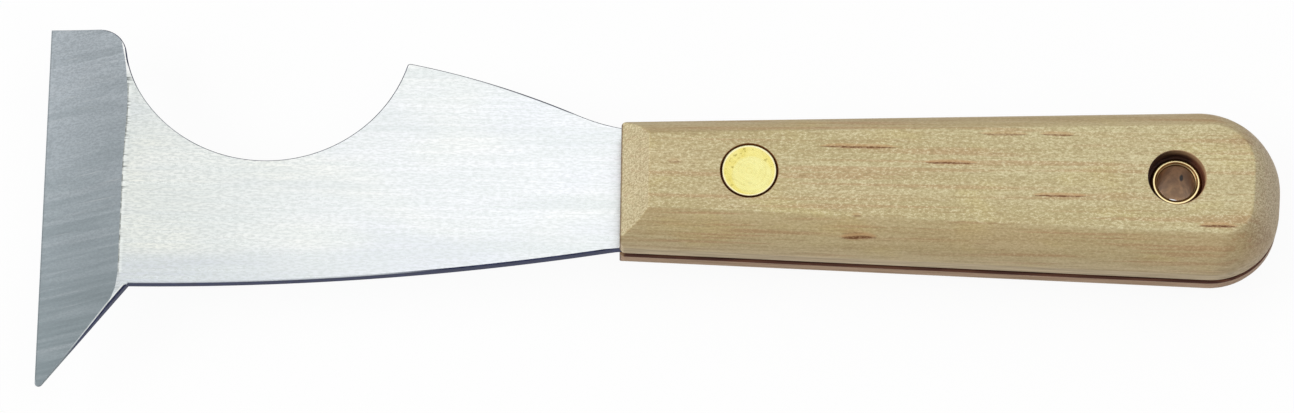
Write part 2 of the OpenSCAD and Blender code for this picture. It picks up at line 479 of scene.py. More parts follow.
def shine_under_horn(f, x, y, upper):
    """Painted highlight under the horn, with a painted dark reflection along the lip of the horn's side;
    gives where the highlight is.
    """
    bright = f.all_of(f.span(y, *UNDER_HORN_Y), f.span(x, *UNDER_HORN_X), upper)
    # Painted highlight under the horn
    f.lay(f.all_of(bright, 0.8), srgb(255, 255, 255))
    # Painted dark reflection along the lip of the horn's side
    lip = f.span(f.off_axis(*HORN_SIDE_C), *HORN_LIP_R)
    f.lay(f.all_of(lip, bright, f.span(y, *HORN_LIP_Y)), EDGE_DARK_REFLECTION)
    return bright


def nick_grinding(f, x, y, upper, bright):
    """Nicks where the stone ran out over the plate, fewer towards the spur and none under the horn."""
    nick = f.noise((200, 2300, 100), detail=2)
    ragged = f.ramp(f.noise((0, 330, 0), detail=1), 0.36, 0.56)
    run_out = f.all_of(upper, f.span(x, *NICKED_X), f.span(y, *NICKED_Y, 0.3, 1.0), f.ramp(bright, 0.5, 0))
    f.lay(f.all_of(run_out, ragged, f.ramp(nick, 0.5, 0.6, 0.0, 0.9)), srgb(104, 110, 110))


def beside_spur(f, y):
    """Where the spur's slanting edge runs, and how far inside its painted dark reflection a place lies."""
    run = (ROOT - SPUR_TIP).normalized()
    off = f.vector("SUBTRACT", f.coords, at(*ROOT))
    inside = f.vector("DOT_PRODUCT", off, (-run.y, run.x, 0))
    dark_band = f.span(y, *DARK_BAND_Y, *(width * MM for width in DARK_BAND_WIDTH))
    return f.span(y, *SPUR_Y), f.maths("SUBTRACT", inside, dark_band)


def spur_edge_reflection_and_gleam(f, y):
    """Painted dark reflection along the spur's edge, narrowing from its root down; gives the gleam inside
    it.
    """
    on_spur, past = beside_spur(f, y)
    gleam = f.all_of(on_spur, f.span(past, *GLEAM_PAST, 0.0, GLEAM_SHARE))
    f.lay(gleam, GLEAM)
    # Painted dark reflection along the spur's edge
    f.lay(f.all_of(on_spur, f.span(past, *DARK_BAND_PAST)), EDGE_DARK_REFLECTION)
    return gleam


def seam_shoulder(f, x, upper):
    """Grey line along the shoulder's edge, before the handle."""
    seam = f.span(f.off_axis(*SHOULDER_C), *SEAM_R)
    f.lay(f.all_of(seam, f.span(x, *SEAM_FROM_X), f.span(x, *SEAM_TO_X), upper), srgb(98, 100, 108))


def brushed_steel():
    """The plate, brushed lengthwise, with the marks that grinding left round it, and painted highlights,
    shade and dark reflection near its edges.
    """
    f = Finish("brushed_steel")
    x, y, z = f.split(f.coords)
    grain = f.noise((1000, 3400, 900), detail=2, rough=0.7)
    streak = f.noise((45, 1500, 100), detail=4, rough=0.65)
    upper = f.span(z, *UPPER_FACE_Z)
    plate_tones_and_painted_light(f, x, grain, streak)
    grind_stop_highlight_and_line(f, x, y, upper)
    bright = shine_under_horn(f, x, y, upper)
    nick_grinding(f, x, y, upper, bright)
    spur_edge_reflection_and_gleam(f, y)
    seam_shoulder(f, x, upper)
    return f.done(
        f.maths("ADD", streak, grain), strength=0.15, depth=0.01,
        Metallic=1.0, Roughness=f.ramp(streak, 0.3, 0.7, 0.26, 0.36),
    )


def ground_steel():
    """The bevel, scored across by the stone, paler towards the horn as a painted reflection, and worn at
    the cutting edge.
    """
    f = Finish("ground_steel")
    x, y, _ = f.split(f.coords)
    sweep = f.noise((22, 420, 100), turn=STONE_TURN, shift=(0.012, 0.044, 0))
    streak = f.noise((55, 1300, 100), turn=STONE_TURN)
    grain = f.noise((2100, 3600, 900), detail=2, rough=0.7, turn=STONE_TURN)
    scratch = f.noise((90, 3300, 100), detail=1, turn=STONE_TURN, shift=(0.03, 0.07, 0))
    cloud = f.noise((60, 90, 60), detail=2)
    toward_horn = f.span(y, SPUR_TIP.y, HORN_Y)
    # Painted reflection: paler towards the horn
    f.colour = f.mix(toward_horn, srgb(168, 183, 188), srgb(228, 237, 244))
    f.lay(f.ramp(cloud, 0.4, 0.7, 0.0, 0.3), srgb(190, 204, 208))
    f.lay(f.ramp(sweep, 0.48, 0.34, 0.0, 0.3), srgb(178, 191, 196))
    f.lay(f.ramp(sweep, 0.54, 0.7, 0.0, 0.34), srgb(228, 235, 240))
    f.lay(f.ramp(streak, 0.42, 0.66, 0.0, 0.2), srgb(226, 232, 237))
    f.lay(f.ramp(grain, 0.36, 0.64, 0.5, 0.0), srgb(172, 183, 189))
    scratched = f.all_of(f.ramp(scratch, 0.66, 0.76), f.ramp(toward_horn, 0.1, 0.7, 0.15, 0.5))
    f.lay(scratched, srgb(242, 246, 248))
    f.lay(f.span(x, *WORN_EDGE_X, 0.0, 0.5), srgb(130, 140, 146))
    gleam = spur_edge_reflection_and_gleam(f, y)
    return f.done(
        f.maths("ADD", streak, grain), strength=0.07, depth=0.01,
        Metallic=f.ramp(gleam, 0, GLEAM_SHARE, 1.0, 0.4), Roughness=f.ramp(streak, 0.3, 0.7, 0.31, 0.35),
    )


def blanked_edge():
    """Dark sheared edges, whose dark also stands in for the edges' dark reflection (painted reflection);
    worn lighter at the horn's top, lighter at the belly's rim, and lighter at the spur and pale in the
    notch as painted highlights.
    """
    f = Finish("blanked_edge")
    x, y, z = f.split(f.coords)
    grain = f.noise((900, 900, 2500))
    # Painted reflection: the dark base stands in for how dark the edges look, along with the sheared
    # steel's own darker finish
    f.colour = f.mix(f.ramp(grain, 0.35, 0.7), srgb(40, 44, 72), srgb(68, 74, 106))
    # Painted highlight: pale on the edge in the notch
    in_notch = f.all_of(f.span(y, *PALE_NOTCH_FROM_Y), f.span(y, *PALE_NOTCH_TO_Y))
    f.lay(f.all_of(in_notch, f.span(x, *PALE_NOTCH_X, 0.0, 0.6)), srgb(206, 210, 212))
    on_horn = f.all_of(f.span(y, *HORN_TOP_Y), f.span(x, *HORN_TOP_X))
    f.lay(on_horn, srgb(152, 160, 166))
    # Painted highlight: lighter on the spur's rounded edge inside its dark band
    on_spur, past = beside_spur(f, y)
    spur_highlight = f.all_of(on_spur, f.span(past, *SPUR_HIGHLIGHT_PAST))
    f.lay(spur_highlight, srgb(134, 144, 149))
    rim = f.all_of(f.span(z, *BELLY_RIM_Z), f.span(x, *BELLY_RIM_X))
    rim = f.all_of(rim, f.span(y, *BELLY_RIM_TO_Y), f.span(y, *BELLY_RIM_FROM_Y))
    f.lay(rim, srgb(205, 211, 216))
    worn_and_lit = f.any_of(on_horn, spur_highlight, rim)
    return f.done(
        grain, strength=0.4, depth=0.03,
        Metallic=f.ramp(worn_and_lit, 0, 1, 1.0, 0.1), Roughness=f.ramp(grain, 0.3, 0.7, 0.45, 0.6),
    )


# Wood finishes, and where each mark begins and is full

RUDDY_RISE = 0.2
RUDDY_WIDTH = 2.4
FLECK_DRIFT = 0.4
WALL_SHADES = (1.12, 0.82)
DARK_FRONT_LINE_X = (FRONT_X + 0.36, FRONT_X + 0.12)
# Painted shade of the slot and bores: where it fades, lightens and darkens
SLOT_SHADE_FADE_X = (FRONT_X + 1.1, FRONT_X + 0.4)
LIT_BORE_SIDE_X = (1.5, 4.6)
LIT_BORE_TOP_X = (-3.6, 1.0)
LIT_BORE_TOP_Z = (FACE_Z - 2, FACE_Z - 0.5)
RIVET_BORE_X = (RIVET_X + 8, RIVET_X + 6)
BORE_Z = (BLADE_HALF + 1, BLADE_HALF + 2)


def saw_maple(f, shift, fibre, speck, pores, flank):
    """The wood's own tones: broad bands, clouds, straw, dark lines, fibres, specks and pores."""
    bands = f.noise((6, 190, 190), shift=shift)
    cloud = f.noise((30, 85, 85), detail=2, shift=shift)
    straw = f.noise((70, 170, 170), detail=2, shift=(shift[0] + 0.06, shift[1], shift[2]))
    lines = f.noise((22, 1100, 1100), detail=2, shift=shift)
    f.colour = f.mix(f.ramp(bands, 0.34, 0.66), srgb(206, 195, 152), srgb(189, 174, 128))
    f.lay(f.ramp(cloud, 0.45, 0.72, 0.0, 0.5), srgb(204, 184, 144))
    f.lay(f.ramp(straw, 0.5, 0.7, 0.0, 0.6), srgb(205, 190, 133))
    f.lay(f.ramp(lines, 0.53, 0.66, 0.0, 0.6), srgb(184, 146, 106))
    f.lay(f.ramp(fibre, 0.45, 0.7, 0.0, 0.5), srgb(178, 155, 110))
    f.lay(f.all_of(f.ramp(speck, 0.49, 0.66), f.ramp(flank, 0, 1, 0.85, 0.5)), srgb(226, 216, 176))
    f.lay(f.all_of(f.ramp(speck, 0.5, 0.35), f.ramp(flank, 0, 1, 0.75, 0.5)), srgb(166, 146, 104))
    f.lay(f.all_of(pores, 0.22), srgb(146, 116, 80))


def side_grain_and_painted_light(f, facing, fibre, speck, flank, painted_wall_tone):
    """What the saw shows on the other sides: end grain; flanks darker and warmer as painted shade; and the
    upright walls in a painted tone of their own for how light falls on them.
    """
    butt = f.ramp(facing[0], -0.2, 0.2)
    end_dark = f.mix(butt, srgb(156, 138, 106), srgb(152, 131, 109))
    end_light = f.mix(butt, srgb(208, 195, 160), srgb(209, 192, 166))
    end_grain = f.ramp(f.maths("ABSOLUTE", facing[0]), 0.35, 0.85)
    f.lay(f.all_of(end_grain, 0.7), f.mix(f.ramp(speck, 0.38, 0.62), end_dark, end_light))
    # Painted shade: faces turned to the sides are darker and warmer
    f.lay(flank, f.vector("MULTIPLY", f.colour, (0.93, 0.86, 0.83)))
    # Painted light: the upright walls take a tone of their own
    wall = f.ramp(f.maths("ABSOLUTE", facing[2]), 0.55, 0.1, 0.0, 0.75)
    light, dark = (tuple(shade * c for c in painted_wall_tone) for shade in WALL_SHADES)
    f.lay(wall, f.mix(f.ramp(fibre, 0.36, 0.62), light, dark))


def fleck_maple(f, flecks, speck):
    """Short dark flecks that wander with the grain, each in a wider ruddy one."""
    wander = f.noise((170, 170, 170), detail=2)
    drift = f.maths("MULTIPLY", f.maths("SUBTRACT", wander, 0.5), FLECK_DRIFT * MM)
    path = f.vector("ADD", f.coords, node(f.tree, "CombineXYZ", Y=drift).outputs[0])
    dark = []
    ruddy = []
    for x, y, length, width, strength in flecks:
        inner = f.fleck_reach(path, x, y, length, width)
        dark.append(f.ramp(inner, 1.4, 0.3, 0.0, strength))
        outer = f.fleck_reach(path, x, y + RUDDY_RISE, length, RUDDY_WIDTH * width)
        ruddy.append(f.ramp(outer, 1.3, 0.4, 0.0, 0.55 * strength))
    f.lay(f.any_of(*ruddy), srgb(194, 143, 94))
    f.lay(f.all_of(f.any_of(*dark), f.ramp(speck, 0.62, 0.42, 0.5, 1.0)), srgb(96, 50, 16))


def maple(name, shift, flecks, painted_wall_tone):
    """Pale maple, sanded, and darker in a thin line along its front edge."""
    f = Finish(name)
    fibre = f.noise((60, 2200, 2200), shift=shift)
    speck = f.noise((1700, 3300, 3300), rough=0.8, shift=shift)
    pores = f.ramp(f.noise((330, 2700, 2700), detail=1, shift=shift), 0.6, 0.72)
    facing = f.split(f.normal)
    flank = f.ramp(f.maths("ABSOLUTE", facing[1]), 0.3, 0.75)
    saw_maple(f, shift, fibre, speck, pores, flank)
    side_grain_and_painted_light(f, facing, fibre, speck, flank, painted_wall_tone)
    fleck_maple(f, flecks, speck)
    f.lay(f.all_of(f.span(f.split(f.coords)[0], *DARK_FRONT_LINE_X), 0.75), srgb(92, 64, 42))
    relief = f.maths("SUBTRACT", f.maths("ADD", fibre, speck), pores)
    return f.done(
        relief, strength=0.2, depth=0.04,
        Roughness=f.ramp(fibre, 0.3, 0.7, 0.5, 0.66), Specular_IOR_Level=0.35,
    )


def maple_painted_shade():
    """Painted shade in the slot and the counterbores, painted lighter at the slot's front and beside the
    hang hole.
    """
    f = Finish("maple_painted_shade")
    x, _, z = f.split(f.coords)
    height = f.maths("ABSOLUTE", z)
    fibre = f.noise((90, 1900, 1900))
    streaked = f.ramp(fibre, 0.35, 0.68)
    # Painted shade: the dark of the slot
    f.colour = f.mix(streaked, srgb(80, 46, 36), srgb(120, 78, 58))
    # Painted shade in the counterbores, lighter on one side of the hang hole's bore and browner round the
    # rivet's
    bore = f.mix(streaked, srgb(46, 27, 22), srgb(84, 53, 40))
    bore = f.mix(f.span(x, *LIT_BORE_SIDE_X, 0.0, 0.8), bore, srgb(132, 82, 58))
    bore = f.mix(f.span(x, *RIVET_BORE_X), bore, srgb(104, 58, 8))
    f.lay(f.span(height, *BORE_Z), bore)
    # Painted light: lighter near the top of the hang hole's bore and at the slot's front
    lit_bore_top = f.all_of(f.span(height, *LIT_BORE_TOP_Z), f.span(x, *LIT_BORE_TOP_X))
    less_shade = f.any_of(lit_bore_top, f.span(x, *SLOT_SHADE_FADE_X, 0.0, 0.8))
    f.lay(f.all_of(less_shade, 0.85), srgb(176, 142, 106))
    return f.done(
        fibre, strength=0.3, depth=0.05,
        Roughness=f.ramp(fibre, 0.3, 0.7, 0.6, 0.75), Specular_IOR_Level=0.25,
    )


# Brass finishes, and where each mark begins and is full

HIGHLIGHT_DISC_C = (RIVET_X + 0.45, -0.8)
HIGHLIGHT_DISC_R = (3.7, 3.1)
HIGHLIGHT_RIM_R = (HEAD_R - 0.44, HEAD_R - 0.32)
SHADED_RIM_R = (HEAD_R - 0.21, HEAD_R - 0.14)
SHADED_RIM_Y = (3.4, 1.2)
CREST_R = EYELET_R + RIM_R + 0.02
OFF_CREST = (0.17, 0.06)
MOUTH_R = EYELET_R + 0.2
OFF_MOUTH = (0.1, 0.03)
INSIDE_R = (EYELET_R + 0.06, EYELET_R + 0.02)
BLACK_SPOT = at(1.3, 2.9, 2.9)
BLACK_SPOT_SCALE = (2700, 2700, 620)


def rivet_brass():
    """Brass with faint turned rings, a pale painted highlight beside its middle, a painted highlight round
    its rim, and painted shade round the rim on its low side.
    """
    f = Finish("rivet_brass")
    scratch = f.noise((700, 2600, 700), turn=0.6)
    cloud = f.noise((420, 420, 420))
    pits = f.noise((1600, 1600, 1600), detail=2, shift=(0.004, 0.002, 0))
    from_axis = f.off_axis(RIVET_X, 0)
    ringed = f.noise((3000, 0, 0), detail=2, path=node(f.tree, "CombineXYZ", X=from_axis).outputs[0])
    highlight_disc = f.span(f.off_axis(*HIGHLIGHT_DISC_C), *HIGHLIGHT_DISC_R)
    f.colour = f.mix(f.ramp(cloud, 0.35, 0.68), srgb(229, 214, 114), srgb(237, 226, 140))
    # Painted highlight beside the middle of the head
    f.lay(f.all_of(highlight_disc, 0.6), srgb(238, 235, 166))
    f.lay(f.ramp(ringed, 0.5, 0.68, 0.0, 0.3), srgb(208, 186, 92))
    f.lay(f.ramp(scratch, 0.6, 0.76, 0.0, 0.35), srgb(186, 162, 74))
    f.lay(f.all_of(f.ramp(pits, 0.58, 0.68), f.ramp(highlight_disc, 0, 1, 0.65, 0.15)), srgb(156, 140, 56))
    # Painted highlight round the rim
    f.lay(f.span(from_axis, *HIGHLIGHT_RIM_R, 0.0, 0.6), srgb(255, 250, 216))
    # Painted shade: the gap round the head, dark on its low side
    low_side = f.span(f.split(f.coords)[1], *SHADED_RIM_Y)
    f.lay(f.all_of(f.span(from_axis, *SHADED_RIM_R), low_side), srgb(84, 48, 12))
    return f.done(
        f.maths("ADD", scratch, ringed), strength=0.15, depth=0.01,
        Metallic=0.55, Roughness=f.ramp(scratch, 0.3, 0.7, 0.2, 0.32),
    )


def eyelet_brass():
    """Dark brass, partly tarnish and partly a painted dark reflection, with a painted highlight along the
    crest of the rolled rim and the edge of its mouth.
    """
    f = Finish("eyelet_brass")
    tarnish = f.noise((700, 700, 320), detail=4)
    stain_and_shade = f.ramp(tarnish, 0.35, 0.68)
    from_axis = f.off_axis(0, 0)
    off_crest, off_mouth = (
        f.maths("ABSOLUTE", f.maths("SUBTRACT", from_axis, r * MM)) for r in (CREST_R, MOUTH_R)
    )
    crest = f.span(off_crest, *OFF_CREST)
    mouth = f.span(off_mouth, *OFF_MOUTH, 0.0, 0.45)
    inside = f.span(from_axis, *INSIDE_R)
    off_spot = f.vector("MULTIPLY", f.vector("SUBTRACT", f.coords, BLACK_SPOT), BLACK_SPOT_SCALE)
    spot = f.ramp(f.vector("LENGTH", off_spot), 1.2, 0.6, 0.0, 0.95)
    # Painted dark reflection on the rim's brass, along with its tarnish
    f.colour = f.mix(stain_and_shade, srgb(92, 58, 30), srgb(124, 84, 44))
    bore = f.mix(stain_and_shade, srgb(164, 125, 86), srgb(206, 163, 116))
    f.lay(inside, f.mix(spot, bore, srgb(24, 18, 18)))
    # Painted highlight along the crest and the mouth
    f.lay(f.any_of(crest, mouth), srgb(255, 236, 180))
    polish = node(f.tree, "Mix", {"data_type": "FLOAT"})
    feed(f.tree, polish.inputs[0], inside)
    feed(f.tree, polish.inputs[2], f.ramp(crest, 0, 1, 0.45, 0.25))
    feed(f.tree, polish.inputs[3], 0.5)
    return f.done(
        tarnish, strength=0.2, depth=0.02,
        Metallic=f.ramp(inside, 0, 1, 1.0, 0.75), Roughness=polish.outputs[0],
    )


# Blade

BELLY_C = arc_centre(ROOT, Vector((FRONT_X, -TANG_HALF)), BELLY_R)
SHOULDER_C = arc_centre(Vector((FRONT_X, TANG_HALF - NECK_DIP)), SHOULDER_START, SHOULDER_R)
HORN_SIDE_START = Vector((NOTCH_C.x - leg(NOTCH_R, NOTCH_C.y - HORN_SIDE_Y), HORN_SIDE_Y))
HORN_SIDE_C = HORN_SIDE_START + HORN_SIDE_R * (NOTCH_C - HORN_SIDE_START).normalized()
WHEEL_C = arc_centre(Vector((EDGE_X, EDGE_T - BLADE_HALF)), Vector((EDGE_X + BEVEL_W, BLADE_HALF)), WHEEL_R)

# Where the grinding stops, from the spur's point up to the horn's top: height, then place along X
GRIND_LINE = [
    (-39.0, -182.85), (-22.6, -182.75), (-20.8, -182.1), (-19.85, -181.76), (-18.6, -181.56),
    (-17.0, -181.38), (3.5, -181.34), (11.4, -181.05), (14.7, -180.95), (17.6, -181.05),
    (20.5, -181.36), (21.8, -181.52), (23.3, -181.78), (25.8, -182.32), (29.0, -183.3),
]
BRUSHED, GROUND, BLANKED = range(3)


def grind_x(y):
    """Where the grinding stops at a height."""
    for (y0, x0), (y1, x1) in zip(GRIND_LINE, GRIND_LINE[1:]):
        if y <= y1:
            return x0 + (x1 - x0) * (y - y0) / (y1 - y0)
    return GRIND_LINE[-1][1]


def ground_share(point):
    """How far across the bevel a point lies: 0 where the grinding stops, 1 at the cutting edge."""
    stop = grind_x(point.y / MM)
    return (stop - point.x / MM) / (stop - EDGE_X)


def blade_face(bm):
    """The blade's outline, from the spur's point round by the horn, the notch and the tang."""
    run = ROOT - SPUR_TIP
    half_angle = math.atan2(run.x, run.y) / 2
    point_c = SPUR_TIP + Vector((POINT_R, POINT_R / math.tan(half_angle)))
    across = Vector((run.y, -run.x)).normalized()
    horn_y = HORN_Y - HORN_FALL - HORN_R
    horn_x = HORN_SIDE_C.x - leg(HORN_SIDE_R + HORN_R, HORN_SIDE_C.y - horn_y)
    horn_c = Vector((horn_x, horn_y))
    lip_c = circles_meet(SHOULDER_C, SHOULDER_R - LIP_R, NOTCH_C, NOTCH_R + LIP_R)
    neck_y = TANG_HALF + NECK_R
    neck_c = Vector((SHOULDER_C.x + leg(SHOULDER_R + NECK_R, neck_y - SHOULDER_C.y), neck_y))
    pen = Pen(bm, point_c + POINT_R * across, level=BLADE_HALF)
    pen.arc(point_c, (EDGE_X, point_c.y), steps=6)
    pen.line((EDGE_X, HORN_Y), (horn_c.x, horn_y + HORN_R))
    pen.arc(horn_c, horn_c + HORN_R * (HORN_SIDE_C - horn_c).normalized(), steps=14)
    pen.arc(HORN_SIDE_C, HORN_SIDE_START, steps=14)
    pen.arc(NOTCH_C, NOTCH_C + NOTCH_R * (lip_c - NOTCH_C).normalized(), steps=62)
    pen.arc(lip_c, lip_c + LIP_R * (lip_c - SHOULDER_C).normalized(), steps=8)
    pen.arc(SHOULDER_C, SHOULDER_C + SHOULDER_R * (neck_c - SHOULDER_C).normalized(), steps=24)
    pen.arc(neck_c, (neck_c.x, TANG_HALF), steps=10)
    pen.line((0, TANG_HALF))
    pen.arc((0, 0), (TANG_HALF, 0), steps=16)
    pen.arc((0, 0), (0, -TANG_HALF), steps=16)
    pen.line((FRONT_X, -TANG_HALF))
    pen.arc(BELLY_C, ROOT, steps=32)
    pen.line(point_c + POINT_R * across)
    return pen.face()


def soften(bm, width, rolled):
    """Rounds the outline's edges: the upper ones on the notch's side, or all the others."""
    edges = []
    for e in bm.edges:
        middle = (e.verts[0].co + e.verts[1].co) / (2 * MM)
        level = abs(e.verts[0].co.z - e.verts[1].co.z) < LEVEL_WITHIN * MM
        shown = EDGE_X + SLACK < middle.x < FRONT_X + TANG_SHOWN
        notch_top = middle.y > 0 and middle.z > 0
        if level and shown and rolled == notch_top and e.calc_face_angle() > SHEAR_ANGLE:
            edges.append(e)
    made = bmesh.ops.bevel(
        bm, geom=edges, offset=width * MM, offset_type="OFFSET", affect="EDGES", segments=2,
        profile=0.5, clamp_overlap=False, material=-1,
    )
    for f in made["faces"]:
        f.material_index = BLANKED


def unground(bm):
    """All that the wheel can reach from above: the upper face, its rounded edges and the walls."""
    bm.normal_update()
    return [f for f in bm.faces if f.normal.z > -STEEP]


def grind(bm):
    """Cuts the front of the blade into strips along the grinding's line and hollows them."""
    back = max(x for y, x in GRIND_LINE) + GRIND_MARGIN
    cut(bm, unground(bm), at(back, 0), (1, 0, 0))
    for y, x in GRIND_LINE[1:-1]:
        cut(bm, [f for f in unground(bm) if f.calc_center_bounds().x < back * MM], at(0, y), (0, 1, 0))
    for (y0, x0), (y1, x1) in zip(GRIND_LINE, GRIND_LINE[1:]):
        for step in range(BEVEL_STEPS):
            share = step / BEVEL_STEPS
            low = at(x0 + (EDGE_X - x0) * share, y0)
            high = at(x1 + (EDGE_X - x1) * share, y1)
            band = [
                f for f in unground(bm)
                if y0 * MM < f.calc_center_bounds().y < y1 * MM and f.calc_center_bounds().x < back * MM
            ]
            cut(bm, band, low, (high - low).cross(PLAN_AXIS))
    for f in unground(bm):
        spot = f.calc_center_bounds()
        bevel = f.material_index == BRUSHED and f.normal.z > UPWARD and ground_share(spot) > 0
        if bevel or spot.x < (EDGE_X + SLACK) * MM:
            f.material_index = GROUND
    for v in bm.verts:
        if v.co.z > 0:
            share = min(max(ground_share(v.co), 0), 1)
            along = EDGE_X + BEVEL_W * (1 - share) - WHEEL_C.x
            v.co.z += (WHEEL_C.y - leg(WHEEL_R, along) - BLADE_HALF) * MM


def bored(bm, x, rings):
    """Wall of a drilled hole through rings of a radius and a level; gives its first and last loop."""
    r, z = rings[0]
    spot = Matrix.Translation(at(x, 0, z))
    made = bmesh.ops.create_circle(bm, segments=BORE_STEPS, radius=r * MM, matrix=spot)["verts"]
    first = last = once(e for v in made for e in v.link_edges)
    for next_r, next_z in rings[1:]:
        made = bmesh.ops.extrude_edge_only(bm, edges=last)["geom"]
        verts = only(made, bmesh.types.BMVert)
        k = next_r / r
        bmesh.ops.scale(bm, vec=(k, k, 1), verts=verts, space=Matrix.Translation(-at(x, 0)))
        bmesh.ops.translate(bm, vec=at(0, 0, next_z - z), verts=verts)
        new = set(verts)
        last = [e for e in only(made, bmesh.types.BMEdge) if new.issuperset(e.verts)]
        r, z = next_r, next_z
    return first, last


def fill_round(bm, outlines, rims):
    """Fills the upper and the lower face again, round the ends of the drilled holes."""
    for outline, ends in zip(outlines, zip(*rims)):
        bmesh.ops.triangle_fill(bm, use_beauty=True, edges=outline + [e for end in ends for e in end])


def drill_tang(bm):
    """Holes for the rivet and the eyelet, through the part of the tang that the scales cover."""
    rims = []
    inside = at(FRONT_X + TANG_COVERED, 0)
    cut(bm, bm.faces[:], inside, (1, 0, 0))
    covers = [f for f in bm.faces if abs(f.normal.z) > FLAT and f.calc_center_bounds().x > inside.x]
    outlines = [f.edges[:] for f in sorted(covers, key=lambda f: -f.calc_center_bounds().z)]
    bmesh.ops.delete(bm, geom=covers, context="FACES_ONLY")
    for x, r in ((RIVET_X, RIVET_HOLE_R), (0, EYELET_HOLE_R)):
        rims.append(bored(bm, x, [(r, BLADE_HALF), (r, -BLADE_HALF)]))
    fill_round(bm, outlines, rims)


def make_blade(materials):
    """The blade: blanked from plate, its edges rounded, its front ground hollow and its tang drilled."""
    bm = bmesh.new()
    made = bmesh.ops.extrude_face_region(bm, geom=[blade_face(bm)])["geom"]
    bmesh.ops.translate(bm, vec=at(0, 0, -2 * BLADE_HALF), verts=only(made, bmesh.types.BMVert))
    bmesh.ops.recalc_face_normals(bm, faces=bm.faces)
    for f in bm.faces:
        f.material_index = BLANKED if abs(f.normal.z) < STEEP else BRUSHED
    soften(bm, EDGE_ROLL, rolled=True)
    soften(bm, EDGE_SOFT, rolled=False)
    grind(bm)
    drill_tang(bm)
    for e in bm.edges:
        if len({f.material_index for f in e.link_faces}) > 1:
            e.smooth = False
    finish_piece(bm, "steel_blade", "blade", materials)


# Scales

# The second material is the painted shade of the slot and bores
SANDED, SLOT_SHADE = range(2)


def butt_corner(r, half, bow_y, side_in, bow_in):
    """Centre and ends of a butt corner, tangent to the notch's tapering side and to the bow."""
    side = Vector((1, SIDE_SLOPE)).normalized()
    bow_c = Vector((BUTT_X - BOW_R, bow_y))
    line = Vector((FRONT_X, half)) + (side_in + r) * Vector((side.y, -side.x))
    away = line - bow_c
    along = leg(BOW_R - bow_in - r, away.x * side.y - away.y * side.x) - away.dot(side)
    centre = line + along * side
    bow_end = bow_c + (BOW_R - bow_in) * (centre - bow_c).normalized()
    return centre, centre + r * Vector((-side.y, side.x)), bow_end


def scale_contour(bm, inwards, level, overhang):
    """Contour of a scale at a level, run on past the front, where it is cut off later."""
    start = FRONT_X - RUN_ON
    belly_in = inwards * (1 + overhang / CHAMFER_W)
    belly_half = BELLY_HALF + overhang
    across = math.hypot(1, SIDE_SLOPE)
    low_y = RUN_ON * SIDE_SLOPE + belly_in * across - belly_half
    high_y = NOTCH_HALF - RUN_ON * SIDE_SLOPE - inwards * across
    tighter = CORNER_TIGHTENING * inwards
    flip = Vector((1, -1))
    low = butt_corner(BELLY_SIDE_R - tighter, belly_half, -BOW_Y, belly_in, inwards)
    low_c, low_side, low_bow = (p * flip for p in low)
    high_c, high_side, high_bow = butt_corner(NOTCH_SIDE_R - tighter, NOTCH_HALF, BOW_Y, inwards, inwards)
    pen = Pen(bm, (start, low_y), level=level)
    pen.line(low_side)
    pen.arc(low_c, low_bow, steps=BUTT_STEPS)
    pen.arc((BUTT_X - BOW_R, BOW_Y), high_bow, steps=10)
    pen.arc(high_c, high_side, steps=BUTT_STEPS)
    pen.line((start, high_y), (start, low_y))
    return pen.loop()


def chamfer_rings():
    """How far in and how high each contour of the rounded chamfer lies, from the wall to the flat."""
    chord = Vector((CHAMFER_W, SCALE_T - SIDE_H))
    steepest = 2 * math.atan2(chord.y, chord.x) - CHAMFER_TOP_SLOPE
    r = chord.length / (2 * math.sin((steepest - CHAMFER_TOP_SLOPE) / 2))
    rings = []
    for k in range(CHAMFER_STEPS + 1):
        slope = steepest + (CHAMFER_TOP_SLOPE - steepest) * k / CHAMFER_STEPS
        rise = r * (math.cos(slope) - math.cos(steepest))
        rings.append((r * (math.sin(steepest) - math.sin(slope)), BLADE_HALF + SIDE_H + rise))
    return rings


def ease(bm, width, in_slot):
    """Takes the sharpness off a scale's edges: those that line the slot, or all the others."""
    edges = []
    for e in bm.edges:
        lowest = max(v.co.z for v in e.verts) < (BLADE_HALF + SLACK) * MM
        if lowest == in_slot and e.calc_face_angle() > EASE_ANGLE:
            edges.append(e)
    bmesh.ops.bevel(
        bm, geom=edges, offset=width * MM, offset_type="OFFSET", affect="EDGES", segments=EASE_STEPS,
        profile=0.5, clamp_overlap=True, material=-1,
    )


def drill_scale(bm, slot_ease):
    """Stepped holes for the rivet and the eyelet; gives them and the slot the painted shade."""
    flats = [
        max((f for f in bm.faces if f.normal.z * way > FLAT), key=lambda f: f.calc_area())
        for way in (1, -1)
    ]
    outlines = [f.edges[:] for f in flats]
    bmesh.ops.delete(bm, geom=flats, context="FACES_ONLY")
    rims = []
    for x, bore_r, hole_r, seat in (
        (RIVET_X, HEAD_BORE_R, RIVET_HOLE_R, HEAD_SEAT),
        (0, RIM_BORE_R, EYELET_HOLE_R, RIM_SEAT),
    ):
        rings = [
            (bore_r + MOUTH_EASE, FACE_Z), (bore_r + MOUTH_EASE / 3, FACE_Z - MOUTH_EASE / 3),
            (bore_r, FACE_Z - MOUTH_EASE), (bore_r, seat), (hole_r, seat), (hole_r, BLADE_HALF),
        ]
        rims.append(bored(bm, x, rings))
    fill_round(bm, outlines, rims)
    for f in bm.faces:
        spot = f.calc_center_median() / MM
        in_slot = spot.z < BLADE_HALF + slot_ease
        bored_out = min((spot.xy - Vector((x, 0))).length for x in (RIVET_X, 0)) < HEAD_BORE_R + MOUTH_EASE
        f.material_index = SLOT_SHADE if in_slot or (bored_out and spot.z < FACE_Z - SLACK) else SANDED


